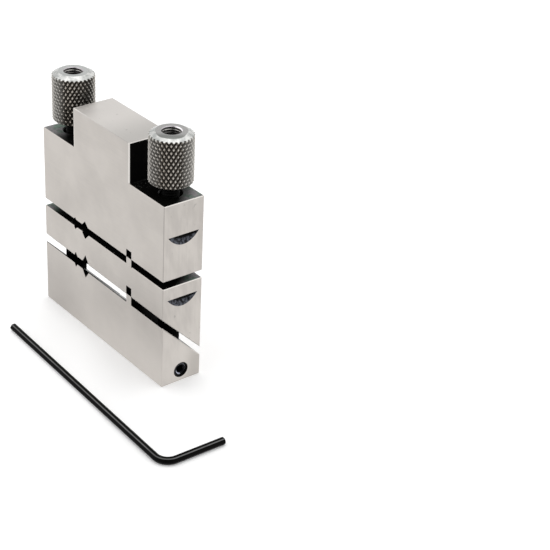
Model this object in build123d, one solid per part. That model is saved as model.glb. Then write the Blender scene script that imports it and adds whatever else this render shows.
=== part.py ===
from build123d import *
from math import cos, pi, radians, sin, tan
import os

# Miter vise: three ground steel jaws on two studs, closed by two knurled nuts, with the hex key for its
# set screws. Millimetres. X runs along the width, the front faces look towards -Y and Z is up.
# The origin is the centre of the lower jaw's underside. The jaws stand a little open, as on a bench.

# Jaw blocks
jaw_width = 60.0
jaw_depth = 13.0
lower_front_height = 19.3
middle_front_height = 9.5
upper_height = 22.7
boss_width = 27.6
boss_height = 12.0
boss_foot_radius = 0.4
edge_break = 0.2
miter_angle = 45.0
touching = 1e-6

# How far each pair of jaw faces stands open at rest, measured straight up
square_gap = 2.25
miter_gap = 2.45

# V grooves that hold round stock: place along X and width in the jaw face, with 90 degree walls
small_vee_x = -13.6
large_vee_x = -8.45
small_square_vee_width = 1.6
large_square_vee_width = 3.4
small_miter_vee_width = 1.8
large_miter_vee_width = 3.5

# Tongues and the slots that take them
tongue_x = 13.7
tongue_width = 2.4
square_tongue_height = 2.4
miter_tongue_height = 1.8
slot_side_clearance = 0.05
slot_depth_clearance = 0.1

# Nail notches in the side faces, cut by a leaning flat-ended cutter
notch_cutter_diameter = 16.0
notch_lean = 36.0
upper_notch_height = 3.0
upper_notch_rise = 13.0
middle_notch_height = 2.9
middle_notch_drop = 3.85

# Studs, thinner where the nuts run, and their bores
stud_inset = 6.25
stud_diameter = 6.0
thread_diameter = 5.0
thread_length = 16.5
stud_reach = 11.3
stud_foot = 0.8
stud_end_chamfer = 0.6
stud_running_clearance = 0.05
bore_chamfer = 0.3

# Knurled nuts. The knurl is a ring of diamond points between the two turned chamfers.
nut_diameter = 12.25
nut_height = 14.5
nut_lift = 3.5
nut_face_diameter = 8.6
nut_crown_drop = 1.0
nut_mouth_diameter = 5.7
knurl_count = 30
knurl_rows = 13
knurl_depth = 0.45

# Set screws
screw_diameter = 4.0
screw_length = 4.0
screw_height = 3.6
screw_recess = 0.25
screw_end_chamfer = 0.4
screw_socket_depth = 2.0
screw_socket_mouth = 2.9
screw_mouth_diameter = 4.7
screw_running_clearance = 0.05
screw_to_flat = 0.05
stud_flat_height = 7.0

# Hex key, lying on a flat, its long arm turned a little from X, clockwise seen from above
key_across_flats = 2.0
key_socket_clearance = 0.05
key_long_arm = 79.6
key_short_arm = 19.0
key_bend_radius = 3.8
key_corner_x = 60.25
key_corner_y = -27.0
key_turn = 1.65
key_end_chamfer = 0.2

# Heights that follow from the sizes above
slope_drop = jaw_depth * tan(radians(miter_angle))
middle_z = lower_front_height + miter_gap
middle_top = middle_z + middle_front_height
upper_z = middle_top + square_gap
shoulder_z = upper_z + upper_height
stud_top = shoulder_z + stud_reach
nut_z = shoulder_z + nut_lift
stud_spacing = jaw_width - 2 * stud_inset
half_width = jaw_width / 2
half_depth = jaw_depth / 2


def face_plane(z, angle):
    """Plane in a jaw face through (0, 0, z): local x along the width, local y out of a face that looks up."""
    lean = radians(angle)
    return Plane(origin=(0, 0, z), x_dir=(1, 0, 0), z_dir=(0, -cos(lean), sin(lean)))


def along_face(sketch, z, angle):
    """A front-to-back prism on a jaw face, trimmed flush with the front and back faces."""
    prism = extrude(face_plane(z, angle) * sketch, amount=2 * jaw_depth, both=True)
    return prism & Pos(0, 0, z) * Box(2 * jaw_width, jaw_depth, 8 * jaw_depth)


def vee(x, width, z, angle):
    """Cutter for a 90 degree V groove, also right for the facing jaw because it is a square on its corner."""
    side = width / 2 ** 0.5
    square = Pos(x, 0) * Rot(0, 0, 45) * Rectangle(side, side)
    return extrude(face_plane(z, angle) * square, amount=2 * jaw_depth, both=True)


def tongue(height, z, angle):
    """Guide tongue that rises from a jaw face, rooted a little inside the block."""
    root = 2 * edge_break
    section = Pos(tongue_x, (height - root) / 2) * Rectangle(tongue_width, height + root)
    return along_face(section, z, angle)


def slot(tongue_height, z, angle):
    """Cutter for the slot that takes a tongue, in the jaw face above it."""
    width = tongue_width + 2 * slot_side_clearance
    depth = tongue_height + slot_depth_clearance
    section = Pos(tongue_x, 0) * Rectangle(width, 2 * depth)
    return extrude(face_plane(z, angle) * section, amount=2 * jaw_depth, both=True)


def side_block(points):
    """Block from its outline seen from the side, as wide as the jaws, with its sharp edges broken."""
    block = extrude(Plane.YZ * Polygon(*points, align=None), amount=half_width, both=True)
    return chamfer(block.edges(), edge_break)


def at_both_studs(shape):
    """The same shape on both stud axes."""
    return [Pos(side * stud_spacing / 2, 0, 0) * shape for side in (-1, 1)]


def bore_radius(shaft_diameter):
    """Radius of a hole in which a shaft of that diameter runs freely."""
    return shaft_diameter / 2 + stud_running_clearance


def bore(low, high):
    """Cutter for one stud bore from low to high."""
    return Pos(0, 0, (low + high) / 2) * Cylinder(bore_radius(stud_diameter), high - low)


def countersink(mouth_radius, hole_radius):
    """45 degree cone that opens a hole to mouth_radius at z = 0, for a face that looks up."""
    step = mouth_radius - hole_radius
    return Cone(hole_radius - step, mouth_radius + 2 * step, 4 * step)


def bore_mouth(z, looks_up):
    """Cutter that breaks the edge of a stud bore in a flat jaw face at z."""
    hole = bore_radius(stud_diameter)
    cone = countersink(hole + bore_chamfer, hole)
    return Pos(0, 0, z) * (cone if looks_up else Rot(180, 0, 0) * cone)


def nail_notch(chord_z, height):
    """Cutters for a notch in each side face: a straight upper lip at chord_z and a round sloping floor."""
    lean = radians(notch_lean)
    radius = notch_cutter_diameter / 2
    axis = (-sin(lean), 0, cos(lean))
    tip_x = half_width + radius * cos(lean) - height * cos(lean) * sin(lean)
    tip_z = chord_z - height + radius * sin(lean) + height * cos(lean) ** 2
    end = Plane(origin=(tip_x, 0, tip_z), x_dir=(0, 1, 0), z_dir=axis)
    cutter = extrude(end * Circle(radius), amount=-2 * notch_cutter_diameter)
    return [cutter, mirror(cutter, about=Plane.YZ)]


def build_lower_jaw():
    """Base block with the 45 degree face on top, the stud bores and the set screw holes."""
    back = lower_front_height - slope_drop
    outline = [(-half_depth, 0), (half_depth, 0), (half_depth, back), (-half_depth, lower_front_height)]
    face_z = (lower_front_height + back) / 2
    jaw = side_block(outline) + tongue(miter_tongue_height, face_z, miter_angle)
    jaw -= vee(small_vee_x, small_miter_vee_width, face_z, miter_angle)
    jaw -= vee(large_vee_x, large_miter_vee_width, face_z, miter_angle)
    jaw -= at_both_studs(bore(-jaw_depth, lower_front_height + jaw_depth))
    jaw -= at_both_studs(bore_mouth(0, False))
    hole_length = half_width - stud_spacing / 2
    hole = Cylinder(screw_diameter / 2, 2 * hole_length)
    hole += Pos(0, 0, hole_length) * countersink(screw_mouth_diameter / 2, screw_diameter / 2)
    for side in (-1, 1):
        jaw -= Pos(side * stud_spacing / 2, 0, screw_height) * Rot(0, side * 90, 0) * hole
    return jaw


def build_middle_jaw():
    """Block with the 45 degree face below and the square face on top."""
    outline = [(-half_depth, middle_z), (half_depth, middle_z - slope_drop),
               (half_depth, middle_top), (-half_depth, middle_top)]
    face_z = middle_z - slope_drop / 2
    jaw = side_block(outline) + tongue(square_tongue_height, middle_top, 0)
    jaw -= slot(miter_tongue_height, face_z, miter_angle)
    jaw -= vee(small_vee_x, small_miter_vee_width, face_z, miter_angle)
    jaw -= vee(large_vee_x, large_miter_vee_width, face_z, miter_angle)
    jaw -= vee(small_vee_x, small_square_vee_width, middle_top, 0)
    jaw -= vee(large_vee_x, large_square_vee_width, middle_top, 0)
    jaw -= at_both_studs(bore(middle_z - 2 * slope_drop, middle_top + jaw_depth))
    jaw -= at_both_studs(bore_mouth(middle_top, True))
    jaw -= nail_notch(middle_top - middle_notch_drop, middle_notch_height)
    return jaw


def build_upper_jaw():
    """Block with a central boss between two shoulders that carry the nuts."""
    boss_half, boss_top = boss_width / 2, shoulder_z + boss_height
    outline = [(-half_width, upper_z), (half_width, upper_z), (half_width, shoulder_z),
               (boss_half, shoulder_z), (boss_half, boss_top), (-boss_half, boss_top),
               (-boss_half, shoulder_z), (-half_width, shoulder_z)]
    block = extrude(Plane.XZ * Polygon(*outline, align=None), amount=half_depth, both=True)
    feet = [edge for edge in block.edges() if is_boss_foot(edge)]
    block = fillet(feet, boss_foot_radius)
    block = chamfer([edge for edge in block.edges() if is_outer(edge)], edge_break)
    jaw = block - slot(square_tongue_height, upper_z, 0)
    jaw -= vee(small_vee_x, small_square_vee_width, upper_z, 0)
    jaw -= vee(large_vee_x, large_square_vee_width, upper_z, 0)
    jaw -= at_both_studs(bore(upper_z - jaw_depth, shoulder_z + jaw_depth))
    jaw -= at_both_studs(bore_mouth(upper_z, False) + bore_mouth(shoulder_z, True))
    jaw -= nail_notch(upper_z + upper_notch_rise, upper_notch_height)
    return jaw


def runs_along_depth(edge):
    """True for an edge parallel to Y."""
    tangent = edge.tangent_at(0.5)
    return abs(tangent.X) < touching and abs(tangent.Z) < touching


def is_boss_foot(edge):
    """True for the two inner corners where the boss rises from the shoulders."""
    middle = edge.center()
    at_side = abs(abs(middle.X) - boss_width / 2) < touching
    return runs_along_depth(edge) and at_side and abs(middle.Z - shoulder_z) < touching


def is_outer(edge):
    """True for the straight outer edges: not those of the small radius at the boss's foot."""
    if edge.geom_type != GeomType.LINE:
        return False
    middle = edge.center()
    at_foot_height = shoulder_z - touching < middle.Z < shoulder_z + boss_foot_radius + touching
    near_foot = abs(abs(middle.X) - boss_width / 2) < boss_foot_radius + touching
    return not (runs_along_depth(edge) and at_foot_height and near_foot)


def turned(*profile):
    """Round bar on the Z axis from its outline, given as radius and height from the foot to the top."""
    (_, low), (_, high) = profile[0], profile[-1]
    return revolve(Plane.XZ * Polygon((0, low), *profile, (0, high), align=None), axis=Axis.Z)


def build_stud(side):
    """Stud with a thinner end for the nut, both ends chamfered, and a flat near its foot for the set screw."""
    radius, thin = stud_diameter / 2, thread_diameter / 2
    neck_z = stud_top - thread_length
    stud = turned((radius - stud_end_chamfer, stud_foot), (radius, stud_foot + stud_end_chamfer),
                  (radius, neck_z - (radius - thin)), (thin, neck_z),
                  (thin, stud_top - stud_end_chamfer), (thin - stud_end_chamfer, stud_top))
    flat_x = half_width - screw_recess - screw_length - screw_to_flat - stud_spacing / 2
    cut = Pos(flat_x + stud_diameter / 2, 0, 0) * Box(stud_diameter, 2 * stud_diameter, 2 * stud_flat_height)
    stud = Pos(stud_spacing / 2, 0, 0) * (stud - cut)
    return stud if side > 0 else mirror(stud, about=Plane.YZ)


def nut_ring(radii, z):
    """Points round the nut at one height. The radii alternate."""
    turns = [pi * step / knurl_count for step in range(2 * knurl_count)]
    return [(radii[step % 2] * cos(turn), radii[step % 2] * sin(turn), z) for step, turn in enumerate(turns)]


def nut_band(low, high, first_peak):
    """Triangles between two rings, split so that edges run along the knurl's grooves."""
    faces = []
    for step in range(len(low)):
        after = (step + 1) % len(low)
        a, b, c, d = low[step], low[after], high[after], high[step]
        is_peak = step % 2 == first_peak
        for corners in ([(a, b, d), (b, c, d)] if is_peak else [(a, b, c), (a, c, d)]):
            faces.append(Face(Wire.make_polygon(corners, close=True)))
    return faces


def knurled_bar():
    """Closed bar as high as the nut: diamond points all round and a turned chamfer at both ends."""
    peak, valley, face = nut_diameter / 2, nut_diameter / 2 - knurl_depth, nut_face_diameter / 2
    foot_z, crown_z = knurl_depth, nut_height - nut_crown_drop
    valley_z = crown_z + nut_crown_drop * knurl_depth / (peak - face)
    rings = [nut_ring((valley, valley), 0)]
    for row in range(knurl_rows + 1):
        radii = (peak, valley) if row % 2 == 0 else (valley, peak)
        rings.append(nut_ring(radii, foot_z + (crown_z - foot_z) * row / knurl_rows))
    rings += [nut_ring((valley, valley), valley_z), nut_ring((face, face), nut_height)]
    faces = [Face(Wire.make_polygon(ring, close=True)) for ring in (rings[0], rings[-1])]
    for row, (low, high) in enumerate(zip(rings, rings[1:])):
        faces += nut_band(low, high, (row + 1) % 2)
    return Solid(Shell(faces))


def build_nut(side):
    """Round nut with a diamond knurl and a bore with chamfered mouths."""
    thread = bore_radius(thread_diameter)
    nut = knurled_bar() - Pos(0, 0, nut_height / 2) * Cylinder(thread, 2 * nut_height)
    mouth = countersink(nut_mouth_diameter / 2, thread)
    nut -= Pos(0, 0, nut_height) * mouth
    nut -= Rot(180, 0, 0) * mouth
    return Pos(side * stud_spacing / 2, 0, nut_z) * nut


def build_set_screw(side):
    """Headless screw with a hexagon socket that looks out of the jaw's side face."""
    radius = screw_diameter / 2 - screw_running_clearance
    screw = chamfer(Cylinder(radius, screw_length).edges().filter_by(GeomType.CIRCLE), screw_end_chamfer)
    socket = RegularPolygon(key_across_flats / 2 + key_socket_clearance, 6, major_radius=False)
    screw -= Pos(0, 0, screw_length / 2 - screw_socket_depth) * extrude(socket, amount=2 * screw_socket_depth)
    screw -= Pos(0, 0, screw_length / 2) * countersink(screw_socket_mouth / 2, key_across_flats / 2)
    centre_x = half_width - screw_recess - screw_length / 2
    return Pos(side * centre_x, 0, screw_height) * Rot(0, side * 90, 0) * screw


def build_hex_key():
    """L-shaped hexagon bar on the ground plane, resting on one of its flats."""
    z = key_across_flats / 2
    long_end, corner, short_end = (-key_long_arm, 0, z), (0, 0, z), (0, key_short_arm, z)
    path = FilletPolyline(long_end, corner, short_end, radius=key_bend_radius)
    hexagon = RegularPolygon(key_across_flats / 2, 6, major_radius=False)
    section = Plane(origin=long_end, x_dir=(0, 1, 0), z_dir=(1, 0, 0)) * hexagon
    key = sweep(section, path=path)
    ends = key.faces().sort_by(Axis.X)[0], key.faces().sort_by(Axis.Y)[-1]
    key = chamfer([edge for face in ends for edge in face.edges()], key_end_chamfer)
    return Pos(key_corner_x, key_corner_y, 0) * Rot(0, 0, -key_turn) * key


nodes = {
    "lower_jaw": build_lower_jaw(),
    "middle_jaw": build_middle_jaw(),
    "upper_jaw": build_upper_jaw(),
    "stud_left": build_stud(-1),
    "stud_right": build_stud(1),
    "nut_left": build_nut(-1),
    "nut_right": build_nut(1),
    "set_screw_left": build_set_screw(-1),
    "set_screw_right": build_set_screw(1),
    "hex_key": build_hex_key(),
}

os.makedirs("parts", exist_ok=True)
for name, shape in nodes.items():
    export_step(shape, f"parts/{name}.step")
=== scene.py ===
from math import cos, pi, radians, sin

import bpy
from mathutils import Matrix, Vector


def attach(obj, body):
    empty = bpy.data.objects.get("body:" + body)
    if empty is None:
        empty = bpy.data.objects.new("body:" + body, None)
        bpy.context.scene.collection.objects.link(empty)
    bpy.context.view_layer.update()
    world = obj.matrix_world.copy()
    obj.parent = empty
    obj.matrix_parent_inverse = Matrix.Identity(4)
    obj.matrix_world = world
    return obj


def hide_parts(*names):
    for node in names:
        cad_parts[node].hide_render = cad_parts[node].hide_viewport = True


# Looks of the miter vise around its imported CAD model. Sizes are in millimetres and become metres with MM.
# X runs along the jaws' width, the front faces look towards -Y and Z is up.
MM = 0.001

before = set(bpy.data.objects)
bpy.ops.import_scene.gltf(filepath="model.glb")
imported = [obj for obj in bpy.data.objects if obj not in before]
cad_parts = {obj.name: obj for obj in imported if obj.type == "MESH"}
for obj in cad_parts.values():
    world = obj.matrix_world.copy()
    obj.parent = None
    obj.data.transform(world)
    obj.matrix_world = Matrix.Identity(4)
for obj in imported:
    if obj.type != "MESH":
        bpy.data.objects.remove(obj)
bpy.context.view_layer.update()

# Jaws
half_width = 30.0
half_depth = 6.5
boss_half_width = 13.8
boss_top = 68.2
shoulder_z = 56.2
middle_top = 31.25
edge_break = 0.2
# The ground skin reaches this far past the broken edges, and its border is frayed by this much in all
skin_slack = 0.03
fray_width = 0.08

# Nail notches, each with the middle and half of its height, and set screw holes
notch_places = ((45.0, 1.95), (25.95, 1.95))
notch_half_length = 5.7
screw_height = 3.6
screw_mouth_radius = 2.4

# Studs, and how much of a thread's half pitch its flat crest and its flank take
stud_x = 23.75
stud_radius = 3.0
stud_foot = 0.8
stud_top = 67.5
stud_end_chamfer = 0.6
stud_flat_height = 7.0
stud_flat_x = 1.95
thread_radius = 2.5
thread_length = 16.5
thread_pitch = 0.8
thread_step = thread_pitch / 8
thread_fade = 1.2
thread_depth = 0.42
thread_crest = 0.12
thread_flank = 0.76

# Nuts, and how much of a half diamond the knurl's flat valley and its flank take
nut_z = 59.7
nut_height = 14.5
nut_radius = 6.125
nut_face_radius = 4.3
nut_crown_drop = 1.0
nut_bore_radius = 2.55
nut_mouth_radius = 2.85
nut_thread_depth = 0.3
knurl_count = 30
knurl_rows = 13
knurl_depth = 0.45
knurl_valley = 0.02
knurl_flank = 0.73
nut_valley_radius = nut_radius - knurl_depth
crown_z = nut_height - nut_crown_drop
knurl_row_height = (crown_z - knurl_depth) / knurl_rows
nut_wall_limit = 5.3

# Hex key
key_across_flats = 2.0
key_corner = (60.25, -27.0)
key_turn = radians(-1.65)
key_long_arm = 79.6
key_short_arm = 19.0
key_bend_radius = 3.8
key_end_chamfer = 0.2
key_edge_radius = 0.50


def add_piece(name, points, faces, sharp_angle):
    """Smooth-shaded mesh object from points in millimetres, with edges sharper than the angle kept sharp."""
    mesh = bpy.data.meshes.new(name)
    mesh.from_pydata([[c * MM for c in point] for point in points], [], faces)
    mesh.validate()
    mesh.shade_smooth()
    mesh.set_sharp_from_angle(angle=radians(sharp_angle))
    piece = bpy.data.objects.new(name, mesh)
    bpy.context.scene.collection.objects.link(piece)
    return piece


def dress(piece, body, node, material):
    """Put a material on a piece, let it stand for a CAD node and ride on that node's body."""
    piece.data.materials.append(material)
    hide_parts(node)
    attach(piece, body)


def ring(points, centre, radius, z, count):
    """Append a level ring of points, its radius a function of the turn. Returns the points' numbers."""
    first = len(points)
    for step in range(count):
        turn = 2 * pi * step / count
        reach = radius(turn)
        points.append((centre + reach * cos(turn), reach * sin(turn), z))
    return list(range(first, first + count))


def bridge(faces, low, high):
    """Join two rings of equal count with four-sided faces."""
    count = len(low)
    for i in range(count):
        j = (i + 1) % count
        faces.append((low[i], low[j], high[j], high[i]))


def levels(low, high, step):
    """Evenly spaced heights from low to high, both included, hardly more than a step apart."""
    count = max(1, round((high - low) / step + 0.49))
    return [low + (high - low) * i / count for i in range(count + 1)]


def clamp(value):
    return min(1.0, max(0.0, value))


def thread_wave(turn, z):
    """0 on the crests to 1 in the roots of a right-hand thread."""
    phase = (z / thread_pitch - turn / (2 * pi)) % 1.0
    return clamp((abs(2 * phase - 1) - thread_crest) / thread_flank)


def knurl_height(step, row):
    """0 in the valleys to 1 on the points of the diamond knurl, at a place counted in lattice steps."""
    a, b = (step + row) / 2, (step - row) / 2
    away = 2 * max(abs(a - round(a)), abs(b - round(b)))
    return clamp((1 - knurl_valley - away) / knurl_flank)


def follows_rise(step, row):
    """True where the knurl's contours run up with the turn, so that each face is split along them."""
    a, b = (step + row) / 2, (step - row) / 2
    return abs(b - round(b)) > abs(a - round(a))


def turned_radius(z):
    """Outer radius of the nut before it was knurled, z measured from its foot."""
    top = nut_face_radius + (nut_height - z) * (nut_radius - nut_face_radius) / nut_crown_drop
    return min(nut_radius, top, nut_valley_radius + z)


def nut_wall(points, faces, centre):
    """Knurled outer wall of a nut. Returns its lowest and its highest ring."""
    split = 4
    foot_step, crown_step = 0.08, 0.05
    count = 2 * knurl_count * split
    lattice = [knurl_depth + knurl_row_height * row / split for row in range(knurl_rows * split + 1)]
    foot, crown = levels(0, knurl_depth, foot_step), levels(crown_z, nut_height, crown_step)
    heights = foot[:-1] + lattice + crown[1:]
    rings = []
    for z in heights:
        row = (z - knurl_depth) / knurl_row_height

        def radius(turn, z=z, row=row):
            drop = knurl_depth * (1 - knurl_height(turn * knurl_count / pi, row))
            return min(nut_radius - drop, turned_radius(z))

        rings.append(ring(points, centre, radius, nut_z + z, count))
    for low, high, z, z_next in zip(rings, rings[1:], heights, heights[1:]):
        row = ((z + z_next) / 2 - knurl_depth) / knurl_row_height
        for i in range(count):
            j = (i + 1) % count
            if follows_rise((i + 0.5) / split, row):
                faces += [(low[i], low[j], high[j]), (low[i], high[j], high[i])]
            else:
                faces += [(low[i], low[j], high[i]), (low[j], high[j], high[i])]
    return rings[0], rings[-1]


def nut_bore(points, faces, centre, count):
    """Threaded bore of a nut, widened at both mouths. Returns its lowest and its highest ring."""
    rings = []
    for z in levels(0, nut_height, thread_step):
        mouth = nut_mouth_radius - min(z, nut_height - z)

        def radius(turn, z=z, mouth=mouth):
            return max(nut_bore_radius + nut_thread_depth * thread_wave(turn, z), mouth)

        rings.append(ring(points, centre, radius, nut_z + z, count))
    for low, high in zip(rings, rings[1:]):
        bridge(faces, high, low)
    return rings[0], rings[-1]


def close_end(faces, outer, inner, looks_up):
    """Flat end of a nut between its outer ring and the ring of the bore, which has fewer points."""
    share = len(outer) // len(inner)
    for i in range(len(inner)):
        j = (i + 1) % len(inner)
        face = [outer[(i * share + k) % len(outer)] for k in range(share + 1)] + [inner[j], inner[i]]
        faces.append(tuple(face if looks_up else reversed(face)))


def build_nut(name, centre):
    points, faces = [], []
    foot, top = nut_wall(points, faces, centre)
    bore_foot, bore_top = nut_bore(points, faces, centre, count=60)
    close_end(faces, foot, bore_foot, looks_up=False)
    close_end(faces, top, bore_top, looks_up=True)
    return add_piece(name, points, faces, sharp_angle=24)


def build_stud(name, side):
    """Stud with a thinner, threaded upper end and a flat at its foot for the set screw."""
    points, faces, rings = [], [], []
    count, ledge = 48, 0.01
    neck_z = stud_top - thread_length
    foot = [stud_foot, stud_foot + stud_end_chamfer, stud_flat_height, stud_flat_height + ledge]
    neck = [neck_z - (stud_radius - thread_radius)]
    for z in foot + neck + levels(neck_z, stud_top, thread_step):
        body = stud_radius if z < neck_z else thread_radius
        end = body - stud_end_chamfer + min(z - stud_foot, stud_top - z)
        fade = clamp((z - neck_z) / thread_fade)

        def radius(turn, z=z, body=body, end=end, fade=fade):
            return min(body - thread_depth * fade * thread_wave(turn, z), end)

        rings.append(ring(points, 0, radius, z, count))
    for low, high in zip(rings, rings[1:]):
        bridge(faces, low, high)
    faces += [tuple(reversed(rings[0])), tuple(rings[-1])]
    placed = []
    for x, y, z in points:
        if z <= stud_flat_height:
            x = side * min(side * x, stud_flat_x)
        placed.append((side * stud_x + x, y, z))
    return add_piece(name, placed, faces, sharp_angle=40)


def rounded_hexagon(scale):
    """Outline of the key's section, a flat up and a flat down, with small rounds on the six corners."""
    outline = []
    corner_reach = key_across_flats / 3 ** 0.5
    centre = corner_reach - key_edge_radius * 2 / 3 ** 0.5
    for corner in range(6):
        middle = radians(60 * corner)
        for turn in range(-30, 31, 10):
            lean = middle + radians(turn)
            across = centre * cos(middle) + key_edge_radius * cos(lean)
            up = centre * sin(middle) + key_edge_radius * sin(lean)
            outline.append((across * scale, up * scale))
    return outline


def key_stations():
    """Places along the key's middle line from its corner: x, y, heading and scale of the section."""
    shrink = 1 - 2 * key_end_chamfer / key_across_flats
    bend_steps = 16
    stations = [(-key_long_arm, 0.0, 0.0, shrink), (key_end_chamfer - key_long_arm, 0.0, 0.0, 1.0)]
    for step in range(bend_steps + 1):
        heading = pi / 2 * step / bend_steps
        x, y = key_bend_radius * (sin(heading) - 1), key_bend_radius * (1 - cos(heading))
        stations.append((x, y, heading, 1.0))
    stations.append((0.0, key_short_arm - key_end_chamfer, pi / 2, 1.0))
    stations.append((0.0, key_short_arm, pi / 2, shrink))
    return stations


def build_key(name):
    points, faces, rings = [], [], []
    for x, y, heading, scale in key_stations():
        first = len(points)
        outline = rounded_hexagon(scale)
        for across, up in outline:
            along_x, along_y = x + across * sin(heading), y - across * cos(heading)
            points.append((key_corner[0] + along_x * cos(key_turn) - along_y * sin(key_turn),
                           key_corner[1] + along_x * sin(key_turn) + along_y * cos(key_turn),
                           key_across_flats / 2 + up))
        rings.append(list(range(first, first + len(outline))))
    for low, high in zip(rings, rings[1:]):
        bridge(faces, low, high)
    faces += [tuple(reversed(rings[0])), tuple(rings[-1])]
    return add_piece(name, points, faces, sharp_angle=35)


class Nodes:
    """Short names for making shader nodes. A value is a number, a colour or another node's socket."""

    def __init__(self, tree):
        self.tree = tree

    def node(self, kind, **settings):
        made = self.tree.nodes.new(kind)
        for key, value in settings.items():
            setattr(made, key, value)
        return made

    def feed(self, socket, value):
        if isinstance(value, bpy.types.NodeSocket):
            self.tree.links.new(value, socket)
        else:
            socket.default_value = value

    def math(self, operation, *values):
        made = self.node("ShaderNodeMath", operation=operation)
        for socket, value in zip(made.inputs, values):
            self.feed(socket, value)
        return made.outputs[0]

    def times(self, first, *others):
        for other in others:
            first = self.math("MULTIPLY", first, other)
        return first

    def plus(self, a, b):
        return self.math("ADD", a, b)

    def minus(self, a, b):
        return self.math("SUBTRACT", a, b)

    def scaled(self, value, factor, shift):
        """A value times a factor, plus a shift."""
        return self.math("MULTIPLY_ADD", value, factor, shift)

    def size(self, value):
        """A value without its sign."""
        return self.math("ABSOLUTE", value)

    def distance(self, a, b):
        return self.math("SQRT", self.plus(self.times(a, a), self.times(b, b)))

    def join(self, first, *others):
        """Area that covers all the given ones. An area is 1 inside and 0 outside."""
        for other in others:
            first = self.math("MAXIMUM", first, other)
        return first

    def outside(self, area):
        return self.minus(1.0, area)

    def above(self, value, limit):
        return self.math("GREATER_THAN", value, limit)

    def below(self, value, limit):
        return self.math("LESS_THAN", value, limit)

    def within(self, place, middle, half):
        """Area where a coordinate is at most half away from the middle, both in millimetres."""
        return self.math("COMPARE", place, middle * MM, half * MM)

    def ramp(self, value, low, high, out_low=0.0, out_high=1.0, shape="SMOOTHSTEP"):
        """Step of a value from low to high."""
        made = self.node("ShaderNodeMapRange", interpolation_type=shape)
        for socket, number in zip(made.inputs[:5], (value, low, high, out_low, out_high)):
            self.feed(socket, number)
        return made.outputs[0]

    def over(self, place, low, high, out_low=0.0, out_high=1.0):
        """Smooth step of a coordinate from low to high, both in millimetres."""
        return self.ramp(place, low * MM, high * MM, out_low, out_high)

    def split(self, vector):
        made = self.node("ShaderNodeSeparateXYZ")
        self.feed(made.inputs[0], vector)
        return made.outputs

    def vector(self, x, y, z):
        made = self.node("ShaderNodeCombineXYZ")
        for socket, value in zip(made.inputs, (x, y, z)):
            self.feed(socket, value)
        return made.outputs[0]

    def mix(self, factor, a, b):
        """Blend of two colours."""
        made = self.node("ShaderNodeMix", data_type="RGBA")
        self.feed(made.inputs["Factor"], factor)
        self.feed(made.inputs[6], a)
        self.feed(made.inputs[7], b)
        return made.outputs[2]


class Surface(Nodes):
    """Nodes of one material, around its Principled shader."""

    def __init__(self, name):
        self.material = bpy.data.materials.new(name)
        self.material.use_nodes = True
        super().__init__(self.material.node_tree)
        self.shader = self.tree.nodes["Principled BSDF"]
        coordinates = self.node("ShaderNodeTexCoord")
        self.place = coordinates.outputs["Object"]
        self.normal = coordinates.outputs["Normal"]
        self.x, self.y, self.z = self.split(self.place)

    def noise(self, scale, detail, roughness=0.5, at=None):
        """Noise at a vector, or at the place on the object."""
        made = self.node("ShaderNodeTexNoise")
        self.feed(made.inputs["Vector"], self.place if at is None else at)
        made.inputs["Scale"].default_value = scale
        made.inputs["Detail"].default_value = detail
        made.inputs["Roughness"].default_value = roughness
        return made.outputs[0]

    def bump(self, height, strength, distance):
        """Normal of a bump of that height, its distance in millimetres."""
        made = self.node("ShaderNodeBump")
        made.inputs["Strength"].default_value = strength
        made.inputs["Distance"].default_value = distance * MM
        self.feed(made.inputs["Height"], height)
        return made.outputs["Normal"]

    def set(self, **values):
        names = {"color": "Base Color", "metallic": "Metallic", "roughness": "Roughness", "normal": "Normal",
                 "specular": "Specular IOR Level", "glow_color": "Emission Color",
                 "glow": "Emission Strength"}
        for key, value in values.items():
            self.feed(self.shader.inputs[names[key]], value)


def grey(value, warm=1.0):
    """Linear colour of that brightness, a little warmer than neutral."""
    return (value * (1 + 0.035 * warm), value, value * (1 - 0.05 * warm), 1.0)


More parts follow.
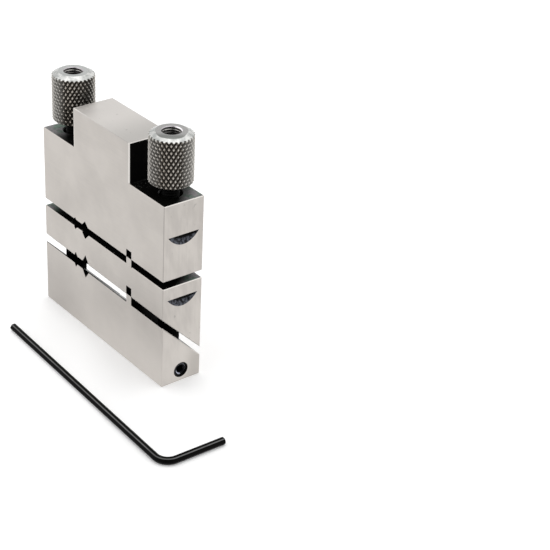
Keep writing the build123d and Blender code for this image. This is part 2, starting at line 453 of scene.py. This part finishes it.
class JawSteel(Surface):
    """Ground steel on the jaws' outer faces and black oxide on everything that was cut into them."""

    dull = (0.540, 0.508, 0.477, 1)
    light = (0.650, 0.613, 0.575, 1)
    # Painted light and shade: the low, top, edge and corner tones below; the nick tone is the steel's own.
    low_right_light_tone = (0.700, 0.660, 0.620, 1)
    low_left_shade_tone = (0.480, 0.450, 0.423, 1)
    low_back_shade_tone = (0.500, 0.470, 0.437, 1)
    top_left_light_tone = (0.638, 0.614, 0.589, 1)
    top_right_shade_tone = (0.448, 0.435, 0.417, 1)
    top_corner_light_tone = (0.840, 0.808, 0.775, 1)
    edge_glint_tone = (0.860, 0.830, 0.790, 1)
    nick_tone = (0.30, 0.285, 0.27, 1)
    corner_shade_tone = (0.22, 0.21, 0.20, 1)
    oxide_low = (0.0020, 0.0020, 0.0018, 1)
    oxide_high = (0.0060, 0.0058, 0.0054, 1)
    # Painted reflection: the grey and green tones of the patches on the shelves.
    reflection_grey = (0.270, 0.260, 0.265, 1)
    reflection_green = (0.170, 0.250, 0.200, 1)
    fleck_tone = (0.10, 0.10, 0.09, 1)
    # Painted light on the notch floors.
    notch_light_tone = (0.155, 0.165, 0.195, 1)

    def __init__(self):
        super().__init__("jaw_steel")
        self.nx, self.ny, self.nz = (self.size(part) for part in self.split(self.normal))
        self.side_x, self.depth_y = self.size(self.x), self.size(self.y)
        self.cloud = self.noise(60, 3, 0.6)
        self.speck = self.noise(1500, 3, 0.6)
        self.marks = self.grinding_marks()
        self.find_cuts()
        self.find_ground()
        self.set(color=self.mix(self.ground, self.oxide_color(), self.steel_color()))
        self.set(metallic=self.ground, specular=0.05)
        steel_rough = self.times(self.ground, self.ramp(self.marks, 0.2, 0.8, 0.36, 0.46))
        oxide_rough = self.times(self.outside(self.ground), self.ramp(self.cloud, 0.25, 0.75, 0.18, 0.30))
        self.set(roughness=self.plus(steel_rough, oxide_rough), normal=self.bump(self.marks, 0.2, 0.004))

    def grinding_marks(self):
        """Marks that run up and down the side faces and along X on the others."""
        across = self.plus(self.times(self.y, self.join(self.nx, self.nz)), self.times(self.z, self.ny))
        up = self.times(self.z, self.nx, 0.02)
        return self.noise(3200, 4, 0.6, at=self.vector(self.times(self.x, 0.02), across, up))

    def find_cuts(self):
        """Walls of the notches and mouths of the set screw holes, which stay black up to the side faces."""
        notch = self.join(*(self.within(self.z, middle, half) for middle, half in notch_places))
        notch = self.times(notch, self.below(self.depth_y, notch_half_length * MM))
        from_screw = self.distance(self.y, self.minus(self.z, screw_height * MM))
        self.mouth = self.below(from_screw, screw_mouth_radius * MM)
        slanting = self.below(self.nx, 0.98)
        self.cuts = self.times(self.join(notch, self.mouth), slanting)

    def outer(self, place, limit, normal):
        """Area on the outer skin where a coordinate passes its limit and the face looks that way."""
        frayed = self.plus(place, self.fray)
        return self.times(self.above(frayed, (limit - edge_break - skin_slack) * MM), self.above(normal, 0.5))

    def find_ground(self):
        """Areas of the ground faces, a little frayed along their edges."""
        self.fray = self.times(self.minus(self.noise(900, 3), 0.5), fray_width * MM)
        side = self.times(self.outer(self.side_x, half_width, self.nx), self.outside(self.cuts))
        foot = self.outer(self.times(self.z, -1), 0, self.nz)
        self.front = self.outer(self.depth_y, half_depth, self.ny)
        self.top = self.outer(self.z, boss_top, self.nz)
        self.ground = self.join(side, self.front, self.top, foot)

    def streaks(self):
        """Rubbed streaks on the side faces, some upright and some at a slant."""
        upright = self.noise(420, 3, 0.55, at=self.vector(0.0, self.y, self.times(self.z, 0.2)))
        slant = self.scaled(self.z, 0.35, self.y)
        slanting = self.noise(260, 3, 0.6, at=self.vector(0.0, slant, self.times(self.z, 0.25)))
        return self.times(self.plus(upright, slanting), 0.5)

    def steel_color(self):
        """Tone of the ground steel, with painted light and shade on a few broad regions of the faces."""
        x, y, z = self.x, self.y, self.z
        tone = self.plus(self.times(self.marks, 0.3), self.times(self.cloud, 0.7))
        tone = self.scaled(self.times(self.minus(self.streaks(), 0.5), self.nx), 1.1, tone)
        color = self.mix(self.ramp(tone, 0.3, 0.7), self.dull, self.light)
        # Painted light: lightens the lower faces towards the right, where they mirror the shaded floor.
        lifted_low_right = self.times(self.over(z, 24, 4, 0.0, 0.55), self.over(x, -28, 2))
        color = self.mix(lifted_low_right, color, self.low_right_light_tone)
        # Painted shade: darkens the lower faces towards the left.
        shaded_low_left = self.times(self.over(z, 24, 8, 0.0, 0.6), self.over(x, -8, -22))
        color = self.mix(shaded_low_left, color, self.low_left_shade_tone)
        # Painted shade: darkens the side faces low down towards the back.
        shaded_low_back = self.times(self.over(z, 13, 5, 0.0, 0.8), self.over(y, 0.0, 4.8), self.nx)
        color = self.mix(shaded_low_back, color, self.low_back_shade_tone)
        # Painted light and shade: the top faces are lighter on the left and darker towards the right.
        painted_top_tone = self.mix(self.over(x, -4, 12), self.top_left_light_tone, self.top_right_shade_tone)
        # Painted light: lightens the front left corner of the boss top against the left nut's dark
        # reflection.
        lifted_top_corner = self.times(self.over(x, -8.5, -12.5), self.over(y, 2.0, -2.5))
        painted_top_tone = self.mix(lifted_top_corner, painted_top_tone, self.top_corner_light_tone)
        color = self.mix(self.times(self.top, 0.75), color, painted_top_tone)
        return self.edge_glints_shade_and_nicks(color)

    def edge_glints_shade_and_nicks(self, color):
        """Painted highlights on broken edges beside a black face, painted shade at the outer corners, and a
        few nicks.
        """
        edge = self.ramp(self.join(self.nx, self.ny, self.nz), 0.95, 0.80)
        upright = self.below(self.nz, 0.4)
        on_boss = self.times(self.above(self.z, shoulder_z * MM),
                             self.below(self.side_x, (boss_half_width + 0.2) * MM))
        beside_top = self.times(self.above(self.nx, 0.5), self.above(self.nz, 0.5))
        # Painted highlight on the broken edges of the boss sides, beside the top faces and along the boss's
        # front edges above the shoulders.
        bright = self.times(edge, self.join(self.times(on_boss, upright), self.times(beside_top, 0.6)))
        above_shoulder = self.times(self.front, self.above(self.z, (shoulder_z + 0.3) * MM))
        beside_edge = self.over(self.side_x, boss_half_width - 0.65, boss_half_width - 0.3, 0.0, 0.8)
        bright = self.join(bright, self.times(above_shoulder, beside_edge))
        color = self.mix(bright, color, self.edge_glint_tone)
        nick = self.ramp(self.noise(520, 2, 0.6), 0.68, 0.74, 0.0, 0.4)
        color = self.mix(self.times(nick, self.join(self.nx, self.nz)), color, self.nick_tone)
        # Painted shade: a dark line on the upright outer corners, strongest high up and gone below 20 mm.
        corner = self.times(edge, self.above(self.side_x, (half_width - 1) * MM), upright)
        return self.mix(self.times(corner, self.over(self.z, 20, 34, 0.0, 0.3)), color, self.corner_shade_tone)

    def oxide_color(self):
        """Black oxide, with painted reflection in grey at the outer ends of the shelves beside the boss and
        painted light in the notches.
        """
        color = self.mix(self.speck, self.oxide_low, self.oxide_high)
        on_shoulder, on_middle = self.within(self.z, shoulder_z, 1.0), self.within(self.z, middle_top, 0.5)
        shelf = self.times(self.join(on_shoulder, on_middle), self.above(self.nz, 0.9))
        # Painted reflection: mottled grey and green patches towards the right back corners of the shelves and
        # at their left ends.
        right_corner = self.over(self.scaled(self.y, 0.9, self.x), 27.0, 33.0)
        left_end = self.over(self.scaled(on_middle, 2.4 * MM, self.x), -20.5, -26.0)
        shelf_reflection = self.times(shelf, self.join(right_corner, left_end))
        shelf_reflection = self.times(shelf_reflection, self.ramp(self.speck, 0.25, 0.6, 0.55, 1.0))
        reflection_tone = self.mix(self.ramp(self.noise(300, 3, 0.6), 0.45, 0.6), self.reflection_grey, self.reflection_green)
        color = self.mix(shelf_reflection, color, reflection_tone)
        fleck_area = self.join(self.within(self.side_x, 16.0, 1.9), self.within(self.x, -25.0, 2.5))
        flecks = self.times(shelf, fleck_area, self.ramp(self.speck, 0.62, 0.70))
        color = self.mix(flecks, color, self.fleck_tone)
        # Painted light on the outer part of the notch floors, speckled; deeper in they stay black as painted
        # shade.
        depth = self.minus(half_width * MM, self.side_x)
        shade = self.plus(depth, self.over(self.y, 0, 5.5, 0.0, 0.8 * MM))
        open_floor = self.times(self.cuts, self.outside(self.mouth), self.over(shade, 1.15, 0.85))
        lit_notch_floor = self.times(open_floor, self.ramp(self.speck, 0.3, 0.72))
        return self.mix(lit_notch_floor, color, self.notch_light_tone)


class NutSteel(Surface):
    """Turned and knurled steel: bright points and chamfer, valleys dark with dirt and painted shade, painted
    light and shade across the knurl and painted shade in the bore.
    """

    point_low = grey(0.46, 1.4)
    point_high = grey(0.62, 1.4)
    # Painted shade on the knurl's flanks.
    flank_shade_low = grey(0.20, 2.0)
    flank_shade_high = grey(0.30, 2.0)
    turned_dull = (0.40, 0.41, 0.40, 1)
    turned_light = (0.70, 0.70, 0.68, 1)
    # Painted shade on the points in the middle of the nut.
    middle_shade_tone = (0.34, 0.28, 0.22, 1)
    # Valleys dark with dirt and painted shade.
    valley_dirt_and_shade_low = (0.006, 0.004, 0.0025, 1)
    valley_dirt_and_shade_high = (0.026, 0.018, 0.012, 1)
    # Painted light towards the nut's left and right edges.
    side_lit_flank = (0.38, 0.37, 0.35, 1)
    side_lit_valley = (0.35, 0.34, 0.32, 1)
    face_low = grey(0.26, 0.4)
    face_high = grey(0.46, 0.4)
    # Painted light on the left nut's face, and painted shade on the faces towards the viewer.
    left_face_light_tone = (0.52, 0.54, 0.53, 1)
    face_shade = (0.10, 0.11, 0.10, 1)
    # Bore: painted shade in the roots and the dark crests, and a painted highlight in the light lip tone.
    root_shade_tone = grey(0.004)
    crest_light = grey(0.60)
    crest_shade_tone = grey(0.01)
    lip_dull = (0.52, 0.49, 0.51, 1)
    lip_highlight_tone = (0.98, 0.95, 0.97, 1)
    # Where flank and valley begin and are complete in a groove, from 0 on the points to 0.5 at its middle
    flank_span = (0.14, 0.29)
    valley_span = (0.26, 0.42)

    def __init__(self):
        super().__init__("nut_steel")
        across = self.minus(self.size(self.x), stud_x * MM)
        self.radius = self.distance(across, self.y)
        self.rise = self.minus(self.z, nut_z * MM)
        self.left_nut = self.below(self.x, 0.0)
        self.right_nut = self.outside(self.left_nut)
        # From a nut's own axis, along runs to the right in the photograph and toward runs to the viewer
        self.local_x = self.times(across, self.scaled(self.left_nut, -2.0, 1.0))
        self.along = self.scaled(self.local_x, 0.85, self.y)
        self.toward = self.minus(self.times(self.local_x, 0.76), self.times(self.y, 0.65))
        self.grime = self.noise(420, 3, 0.6)
        self.rings = self.noise(9000, 3, 0.7, at=self.vector(self.radius, 0.0, 0.0))
        self.find_knurl()
        color = self.mix(self.face_area(), self.outside_color(), self.face_color())
        self.set(color=self.mix(self.bore_area(), color, self.bore_color()))
        self.set(metallic=self.ramp(self.valley, 0.35, 0.9, 1.0, 0.15), specular=0.2)
        self.set(roughness=self.ramp(self.valley, 0.0, 0.8, 0.24, 0.55))
        self.set(normal=self.bump(self.rings, 0.3, 0.006))

    def groove_shade_share(self, middle, left_shift):
        """How strongly a set of grooves shows, as painted light and shade across the nut. It fades round a
        place that is shifted on the left nut.
        """
        from_middle = self.minus(self.along, self.scaled(self.left_nut, left_shift * MM, middle * MM))
        return self.over(self.size(from_middle), 0.9, 3.2, 0.30, 0.95)

    def find_knurl(self):
        """Flanks and valleys of the knurl, from two sets of grooves, each wider where the other one fades.
        Which set shows more across the nut is painted light and shade.
        """
        step = self.times(self.math("ARCTAN2", self.y, self.local_x), knurl_count / pi)
        row = self.math("DIVIDE", self.minus(self.rise, knurl_depth * MM), knurl_row_height * MM)
        falling = self.math("PINGPONG", self.times(self.plus(step, row), 0.5), 0.5)
        rising = self.math("PINGPONG", self.times(self.minus(step, row), 0.5), 0.5)
        # Painted light and shade: each set of grooves fades round its own place across the nut, as if lit
        # from the sides.
        fall_share = self.groove_shade_share(middle=3.4, left_shift=-1.8)
        rise_share = self.groove_shade_share(middle=-3.4, left_shift=-6.0)
        falling = self.times(falling, self.scaled(rise_share, -0.45, 1.45))
        rising = self.times(rising, self.scaled(fall_share, -0.45, 1.45))
        wall = self.above(self.radius, nut_wall_limit * MM)
        wall = self.times(wall, self.over(self.rise, crown_z - 0.05, crown_z + 0.25, 1.0, 0.0))

        def grooves(span):
            shown = self.join(self.times(self.ramp(falling, *span), fall_share),
                              self.times(self.ramp(rising, *span), rise_share))
            return self.times(shown, wall)

        self.flank, self.valley = grooves(self.flank_span), grooves(self.valley_span)

    def outside_color(self):
        """Colour of the knurl and the crown, with painted shade in the middle. Towards its left and right
        edges the knurl turns lighter with painted light.
        """
        # Painted light: the knurl's flanks and valleys turn lighter towards the nut's left and right edges.
        left_edge = self.times(self.over(self.along, -1.5, -6.0), self.scaled(self.left_nut, 0.65, 0.35))
        right_edge = self.times(self.over(self.along, 3.5, 6.8), self.scaled(self.left_nut, -0.7, 0.8))
        lit_sides = self.join(left_edge, right_edge)
        point = self.mix(self.grime, self.point_low, self.point_high)
        # Painted shade: the points turn dark brown in the middle of the nut, facing the viewer.
        middle_shade = self.over(self.size(self.plus(self.along, 0.8 * MM)), 3.6, 0.6, 0.0, 0.5)
        point = self.mix(middle_shade, point, self.middle_shade_tone)
        turned = self.mix(self.ramp(self.grime, 0.35, 0.65), self.turned_dull, self.turned_light)
        point = self.mix(self.above(self.rise, (crown_z + 0.02) * MM), point, turned)
        # Painted shade darkens the knurl's flanks.
        flank = self.mix(self.grime, self.flank_shade_low, self.flank_shade_high)
        flank = self.mix(lit_sides, flank, self.side_lit_flank)
        # The valleys are dark with dirt and painted shade.
        valley = self.mix(self.grime, self.valley_dirt_and_shade_low, self.valley_dirt_and_shade_high)
        valley = self.mix(lit_sides, valley, self.side_lit_valley)
        return self.mix(self.valley, self.mix(self.flank, point, flank), valley)

    def face_area(self):
        """The flat end, which reaches onto the crown at the front of the right nut to carry its painted shade
        there.
        """
        # Painted shade: the face's shaded tone reaches onto the crown at the front of the right nut.
        shaded_front = self.times(self.over(self.toward, 1.0, 4.2), self.right_nut)
        reach = self.scaled(shaded_front, -0.5 * MM, self.radius)
        return self.over(reach, nut_face_radius + 0.12, nut_face_radius - 0.1)

    def face_color(self):
        """Turned rings on the flat end, with painted shade towards the viewer and painted light on the left
        nut's face.
        """
        color = self.mix(self.times(self.rings, 0.8), self.face_low, self.face_high)
        # Painted light on the left nut's face.
        color = self.mix(self.times(self.left_nut, 0.6), color, self.left_face_light_tone)
        shaded = self.times(self.over(self.toward, 1.5, 4.0), self.scaled(self.left_nut, -0.5, 0.7))
        return self.mix(shaded, color, self.face_shade)

    def bore_area(self):
        return self.over(self.radius, nut_mouth_radius + 0.06, nut_mouth_radius - 0.08)

    def bore_color(self):
        """Painted shade in the bore, with black roots and crests that darken downwards, and a bright lip with
        a painted highlight crescent on the right nut.
        """
        crest = self.over(self.radius, nut_bore_radius + 0.16, nut_bore_radius)
        # Painted shade: thread roots black and crests darker further down the bore.
        bore_shade = self.over(self.rise, nut_height - 0.9, nut_height - 2.0)
        color = self.mix(crest, self.root_shade_tone, self.mix(bore_shade, self.crest_light, self.crest_shade_tone))
        # Painted highlight: a bright crescent on the lip of the right nut.
        crescent = self.times(self.over(self.along, 0.4, 2.2), self.right_nut)
        lip = self.over(self.rise, nut_height - 0.32, nut_height - 0.22)
        return self.mix(lip, color, self.mix(crescent, self.lip_dull, self.lip_highlight_tone))


def black_oxide(name, rough_low, rough_high, highlight_level, specular):
    """Black oxide on the studs and the key, with a painted highlight in grey along the edges that look up at
    a slant.
    """
    s = Surface(name)
    level = 0.003
    cloud = s.noise(260, 4, 0.6)
    looks_up = s.split(s.normal)[2]
    # Painted highlight along the slanting edges that look up.
    slant = s.times(s.ramp(looks_up, 0.60, 0.74), s.ramp(looks_up, 0.999, 0.96))
    highlight_band = s.times(slant, s.ramp(cloud, 0.2, 0.75, 0.55, 1.0))
    black = s.mix(cloud, grey(level * 0.6), grey(level * 1.5))
    s.set(color=s.mix(highlight_band, black, grey(highlight_level, 0)), specular=specular)
    s.set(roughness=s.ramp(cloud, 0.25, 0.75, rough_low, rough_high))
    s.set(normal=s.bump(s.noise(2600, 2), 0.15, 0.004))
    return s.material


def screw_oxide():
    """Black oxide on the set screws, with painted highlights: a grey ring near the rim and a bright crescent
    low in the mouth.
    """
    s = Surface("screw_oxide")
    # Painted highlights: the ring and crescent tones.
    black, rim_highlight_tone, crescent_highlight_tone = (0.003, 0.003, 0.005, 1), (0.19, 0.195, 0.215, 1), (0.55, 0.57, 0.68, 1)
    drop = s.minus(s.z, screw_height * MM)
    radius = s.distance(s.y, drop)
    outer_end = s.above(s.size(s.x), 29.2 * MM)
    # Painted highlight: a grey ring near the rim, stronger towards the back, and a bright crescent low in the
    # mouth.
    rim = s.times(s.within(radius, 1.76, 0.17), outer_end, s.over(s.y, -0.6, 1.2, 0.3, 1.0))
    low = s.over(s.scaled(s.y, 1.2, drop), -1.2, -1.8)
    crescent = s.times(s.within(radius, 1.34, 0.14), outer_end, low)
    s.set(color=s.mix(crescent, s.mix(rim, black, rim_highlight_tone), crescent_highlight_tone))
    s.set(metallic=0.0, roughness=0.35, specular=0.12)
    return s.material


def finish_node(node, material):
    """Give a CAD solid that stays in view its material."""
    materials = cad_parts[node].data.materials
    materials.clear()
    materials.append(material)


jaw_steel = JawSteel().material
nut_steel = NutSteel().material
screw_steel = screw_oxide()
stud_steel = black_oxide("dull_oxide", rough_low=0.45, rough_high=0.60, highlight_level=0.01, specular=0.03)
key_steel = black_oxide("satin_oxide", rough_low=0.34, rough_high=0.46, highlight_level=0.17, specular=0.04)

for node in ("lower_jaw", "middle_jaw", "upper_jaw"):
    finish_node(node, jaw_steel)
for name, side in (("left", -1), ("right", 1)):
    finish_node("set_screw_" + name, screw_steel)
    stud = build_stud("threaded_stud_" + name, side)
    dress(stud, "base", "stud_" + name, stud_steel)
    nut = build_nut("knurled_nut_" + name, side * stud_x)
    dress(nut, f"nut_{name}_body", "nut_" + name, nut_steel)
dress(build_key("hex_key_bar"), "hex_key_body", "hex_key", key_steel)


def add_camera():
    """Camera at the photograph's viewing angle. Returns the direction from the vise to it."""
    turn, rise, roll = radians(49.736), radians(29.666), radians(3.25)
    distance, target = 376.662, Vector((68.294, 0.0, 52.25))
    back = Vector((sin(turn) * cos(rise), -cos(turn) * cos(rise), sin(rise)))
    right = (-back).cross(Vector((0, 0, 1))).normalized()
    up = right.cross(-back)
    rolled_right = cos(roll) * right + sin(roll) * up
    rolled_up = cos(roll) * up - sin(roll) * right
    data = bpy.data.cameras.new("camera")
    data.lens = 100.0
    data.sensor_width = 36.0
    data.clip_start = 0.01
    data.clip_end = 20.0
    camera = bpy.data.objects.new("camera", data)
    axes = Matrix((rolled_right, rolled_up, back)).transposed().to_4x4()
    camera.matrix_world = Matrix.Translation((target + distance * back) * MM) @ axes
    bpy.context.scene.collection.objects.link(camera)
    bpy.context.scene.camera = camera
    return back


def add_world(toward_camera):
    """White studio all round, a little brighter overhead and dark where the photographer stands."""
    horizon_level, overhead_level, photographer_level = 0.98, 1.6, 0.15
    # The dark patch is complete within 0.93 and gone beyond 0.72, as the cosine of the angle from its middle
    patch_edge, patch_core = 0.72, 0.93
    world = bpy.data.worlds.new("studio")
    world.use_nodes = True
    bpy.context.scene.world = world
    g = Nodes(world.node_tree)
    direction = g.node("ShaderNodeTexCoord").outputs["Generated"]
    height = g.math("POWER", g.split(direction)[2], 3.0)
    overhead = g.ramp(height, 0.0, 1.0, horizon_level, overhead_level, shape="LINEAR")
    facing = g.node("ShaderNodeVectorMath", operation="DOT_PRODUCT")
    g.feed(facing.inputs[0], direction)
    g.feed(facing.inputs[1], toward_camera)
    patch = g.ramp(facing.outputs["Value"], patch_edge, patch_core, 1.0, photographer_level)
    shown = g.node("ShaderNodeMix")
    g.feed(shown.inputs["Factor"], g.node("ShaderNodeLightPath").outputs["Is Camera Ray"])
    g.feed(shown.inputs[2], g.times(overhead, patch))
    g.feed(shown.inputs[3], 1.0)
    background = world.node_tree.nodes["Background"]
    g.feed(background.inputs["Color"], (1, 1, 1, 1))
    g.feed(background.inputs["Strength"], shown.outputs[0])


def add_floor():
    """White table. It takes the soft shadow, and a faint glow of its own brings it up to white."""
    half, z = 3000, -0.02
    white, gloss_grey = (0.93, 0.93, 0.93, 1), (0.35, 0.35, 0.35, 1)
    glow, gloss_glow = 0.17, 0.65
    mesh = bpy.data.meshes.new("floor")
    corners = [(-half, -half, z), (half, -half, z), (half, half, z), (-half, half, z)]
    mesh.from_pydata([[c * MM for c in corner] for corner in corners], [], [(0, 1, 2, 3)])
    floor = bpy.data.objects.new("floor", mesh)
    bpy.context.scene.collection.objects.link(floor)
    s = Surface("floor_white")
    path = s.node("ShaderNodeLightPath")
    glossy = path.outputs["Is Glossy Ray"]
    # Painted light: extra glow makes the shade lighter in front of the vise on the left
    area = s.over(s.scaled(s.y, 1.5, s.x), 4, -26)
    shadow_lift = s.times(area, s.over(s.y, -7, -12, 0.05, 0.12))
    seen = s.scaled(path.outputs["Is Camera Ray"], s.plus(shadow_lift, glow), s.times(glossy, gloss_glow))
    s.set(color=s.mix(glossy, white, gloss_grey), roughness=0.9, specular=0.0)
    s.set(glow_color=(1, 1, 1, 1), glow=seen)
    mesh.materials.append(s.material)


add_world(add_camera())
add_floor()
bpy.context.scene.view_settings.view_transform = "Standard"
